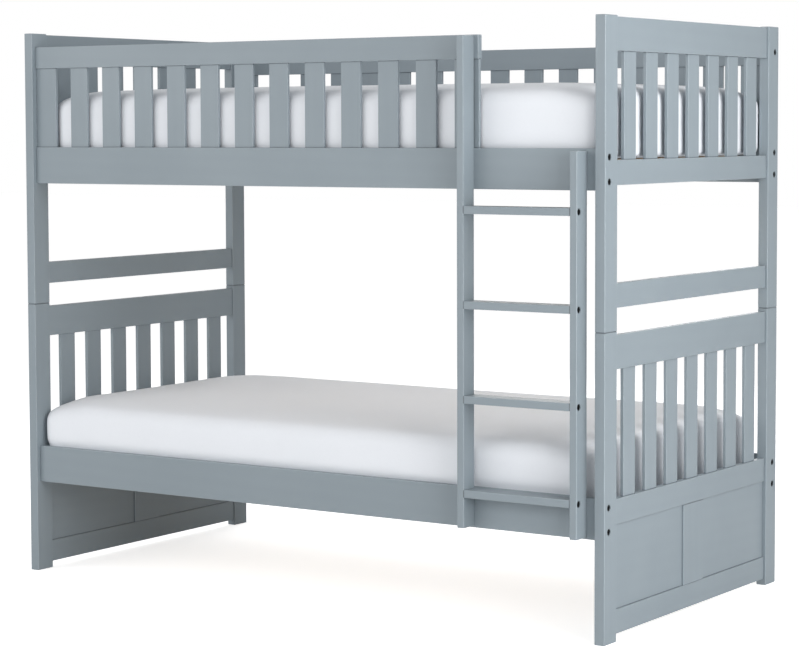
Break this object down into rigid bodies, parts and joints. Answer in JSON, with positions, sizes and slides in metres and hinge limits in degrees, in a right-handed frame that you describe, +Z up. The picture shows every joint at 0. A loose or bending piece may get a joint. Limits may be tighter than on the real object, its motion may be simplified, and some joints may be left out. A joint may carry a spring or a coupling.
{
  "type": "bunk bed",
  "caption": "Twin-over-twin bunk bed with slatted ends, slatted guard rails, a fixed vertical ladder and two mattresses; the upper bed stacks on pins.",
  "frame": {"origin": "on the floor, under the middle of the bounding box", "axes": "+X along the bed towards the ladder end, -Y towards the side the ladder is on, +Z up"},
  "size_m": [2, 1.101, 1.644],
  "materials": {
    "grey_paint": "satin blue-grey paint on solid pine",
    "bare_pine": "bare sanded pine",
    "steel": "zinc-plated steel",
    "black_steel": "black oxide bolt and screw heads",
    "mattress_fabric": "white knitted mattress cover"
  },
  "bodies": {
    "lower_bed": {"lower_barrel_nuts": "steel", "lower_cleats": "bare_pine", "lower_deck_slats": "bare_pine", "lower_left_bottom_rail": "grey_paint", "lower_left_centre_stile": "grey_paint", "lower_left_mid_rail": "grey_paint", "lower_left_panels": "grey_paint", "lower_left_slats": "grey_paint", "lower_left_top_rail": "grey_paint", "lower_post_back_left": "grey_paint", "lower_post_back_right": "grey_paint", "lower_post_front_left": "grey_paint", "lower_post_front_right": "grey_paint", "lower_rail_back": "grey_paint", "lower_rail_bolts": "black_steel", "lower_rail_front": "grey_paint", "lower_right_bottom_rail": "grey_paint", "lower_right_centre_stile": "grey_paint", "lower_right_mid_rail": "grey_paint", "lower_right_panels": "grey_paint", "lower_right_slats": "grey_paint", "lower_right_top_rail": "grey_paint", "stacking_pins": "steel"},
    "upper_bed": {"guard_back_slats": "grey_paint", "guard_back_stiles": "grey_paint", "guard_back_top_rail": "grey_paint", "guard_front_slats": "grey_paint", "guard_front_stiles": "grey_paint", "guard_front_top_rail": "grey_paint", "ladder_left_upright": "grey_paint", "ladder_mount_bolts": "black_steel", "ladder_right_upright": "grey_paint", "ladder_rung_1": "grey_paint", "ladder_rung_2": "grey_paint", "ladder_rung_3": "grey_paint", "ladder_rung_4": "grey_paint", "rung_dowels": "bare_pine", "rung_screws": "black_steel", "upper_barrel_nuts": "steel", "upper_cleats": "bare_pine", "upper_deck_slats": "bare_pine", "upper_left_crossbar": "grey_paint", "upper_left_low_rail": "grey_paint", "upper_left_slats": "grey_paint", "upper_left_top_rail": "grey_paint", "upper_post_back_left": "grey_paint", "upper_post_back_right": "grey_paint", "upper_post_front_left": "grey_paint", "upper_post_front_right": "grey_paint", "upper_rail_back": "grey_paint", "upper_rail_bolts": "black_steel", "upper_rail_front": "grey_paint", "upper_right_crossbar": "grey_paint", "upper_right_low_rail": "grey_paint", "upper_right_slats": "grey_paint", "upper_right_top_rail": "grey_paint"},
    "lower_mattress_block": {"lower_mattress": "mattress_fabric"},
    "upper_mattress_block": {"upper_mattress": "mattress_fabric"}
  },
  "joints": [
    {"name": "upper_bed_lift", "type": "slide", "parent": "lower_bed", "child": "upper_bed", "axis": [0, 0, 1], "range_m": [0, 0.06]},
    {"name": "lower_mattress_lift", "type": "slide", "parent": "lower_bed", "child": "lower_mattress_block", "axis": [0, 0, 1], "range_m": [0, 0.3]},
    {"name": "upper_mattress_lift", "type": "slide", "parent": "upper_bed", "child": "upper_mattress_block", "axis": [0, 0, 1], "range_m": [0, 0.3]}
  ]
}
